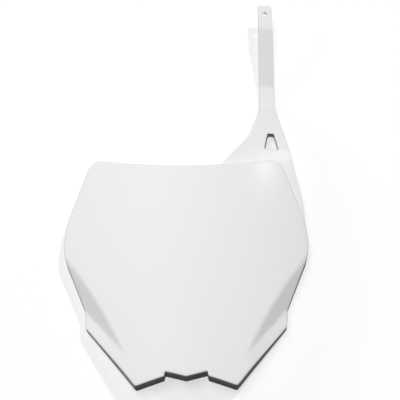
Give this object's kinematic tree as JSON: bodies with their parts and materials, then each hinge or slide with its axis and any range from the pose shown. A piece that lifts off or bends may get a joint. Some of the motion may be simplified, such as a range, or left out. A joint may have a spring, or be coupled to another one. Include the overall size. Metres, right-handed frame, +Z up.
{
  "type": "racing number board",
  "caption": "White motocross front number board, a crowned moulded shell with sunk side wings, a bolt tab behind its foot and a long hanging strap at one shoulder",
  "frame": {"origin": "centre of the lower bolt hole, in the mid plane of its tab", "axes": "+Z up the board as it stands on the bike, -Y out of the face towards the rider ahead, +X towards the shoulder that carries the strap"},
  "size_m": [0.2504, 0.0457, 0.4273],
  "materials": {
    "white_plastic": "moulded polypropylene with a slight sheen"
  },
  "bodies": {
    "root": {"number_board": "white_plastic"}
  },
  "joints": []
}
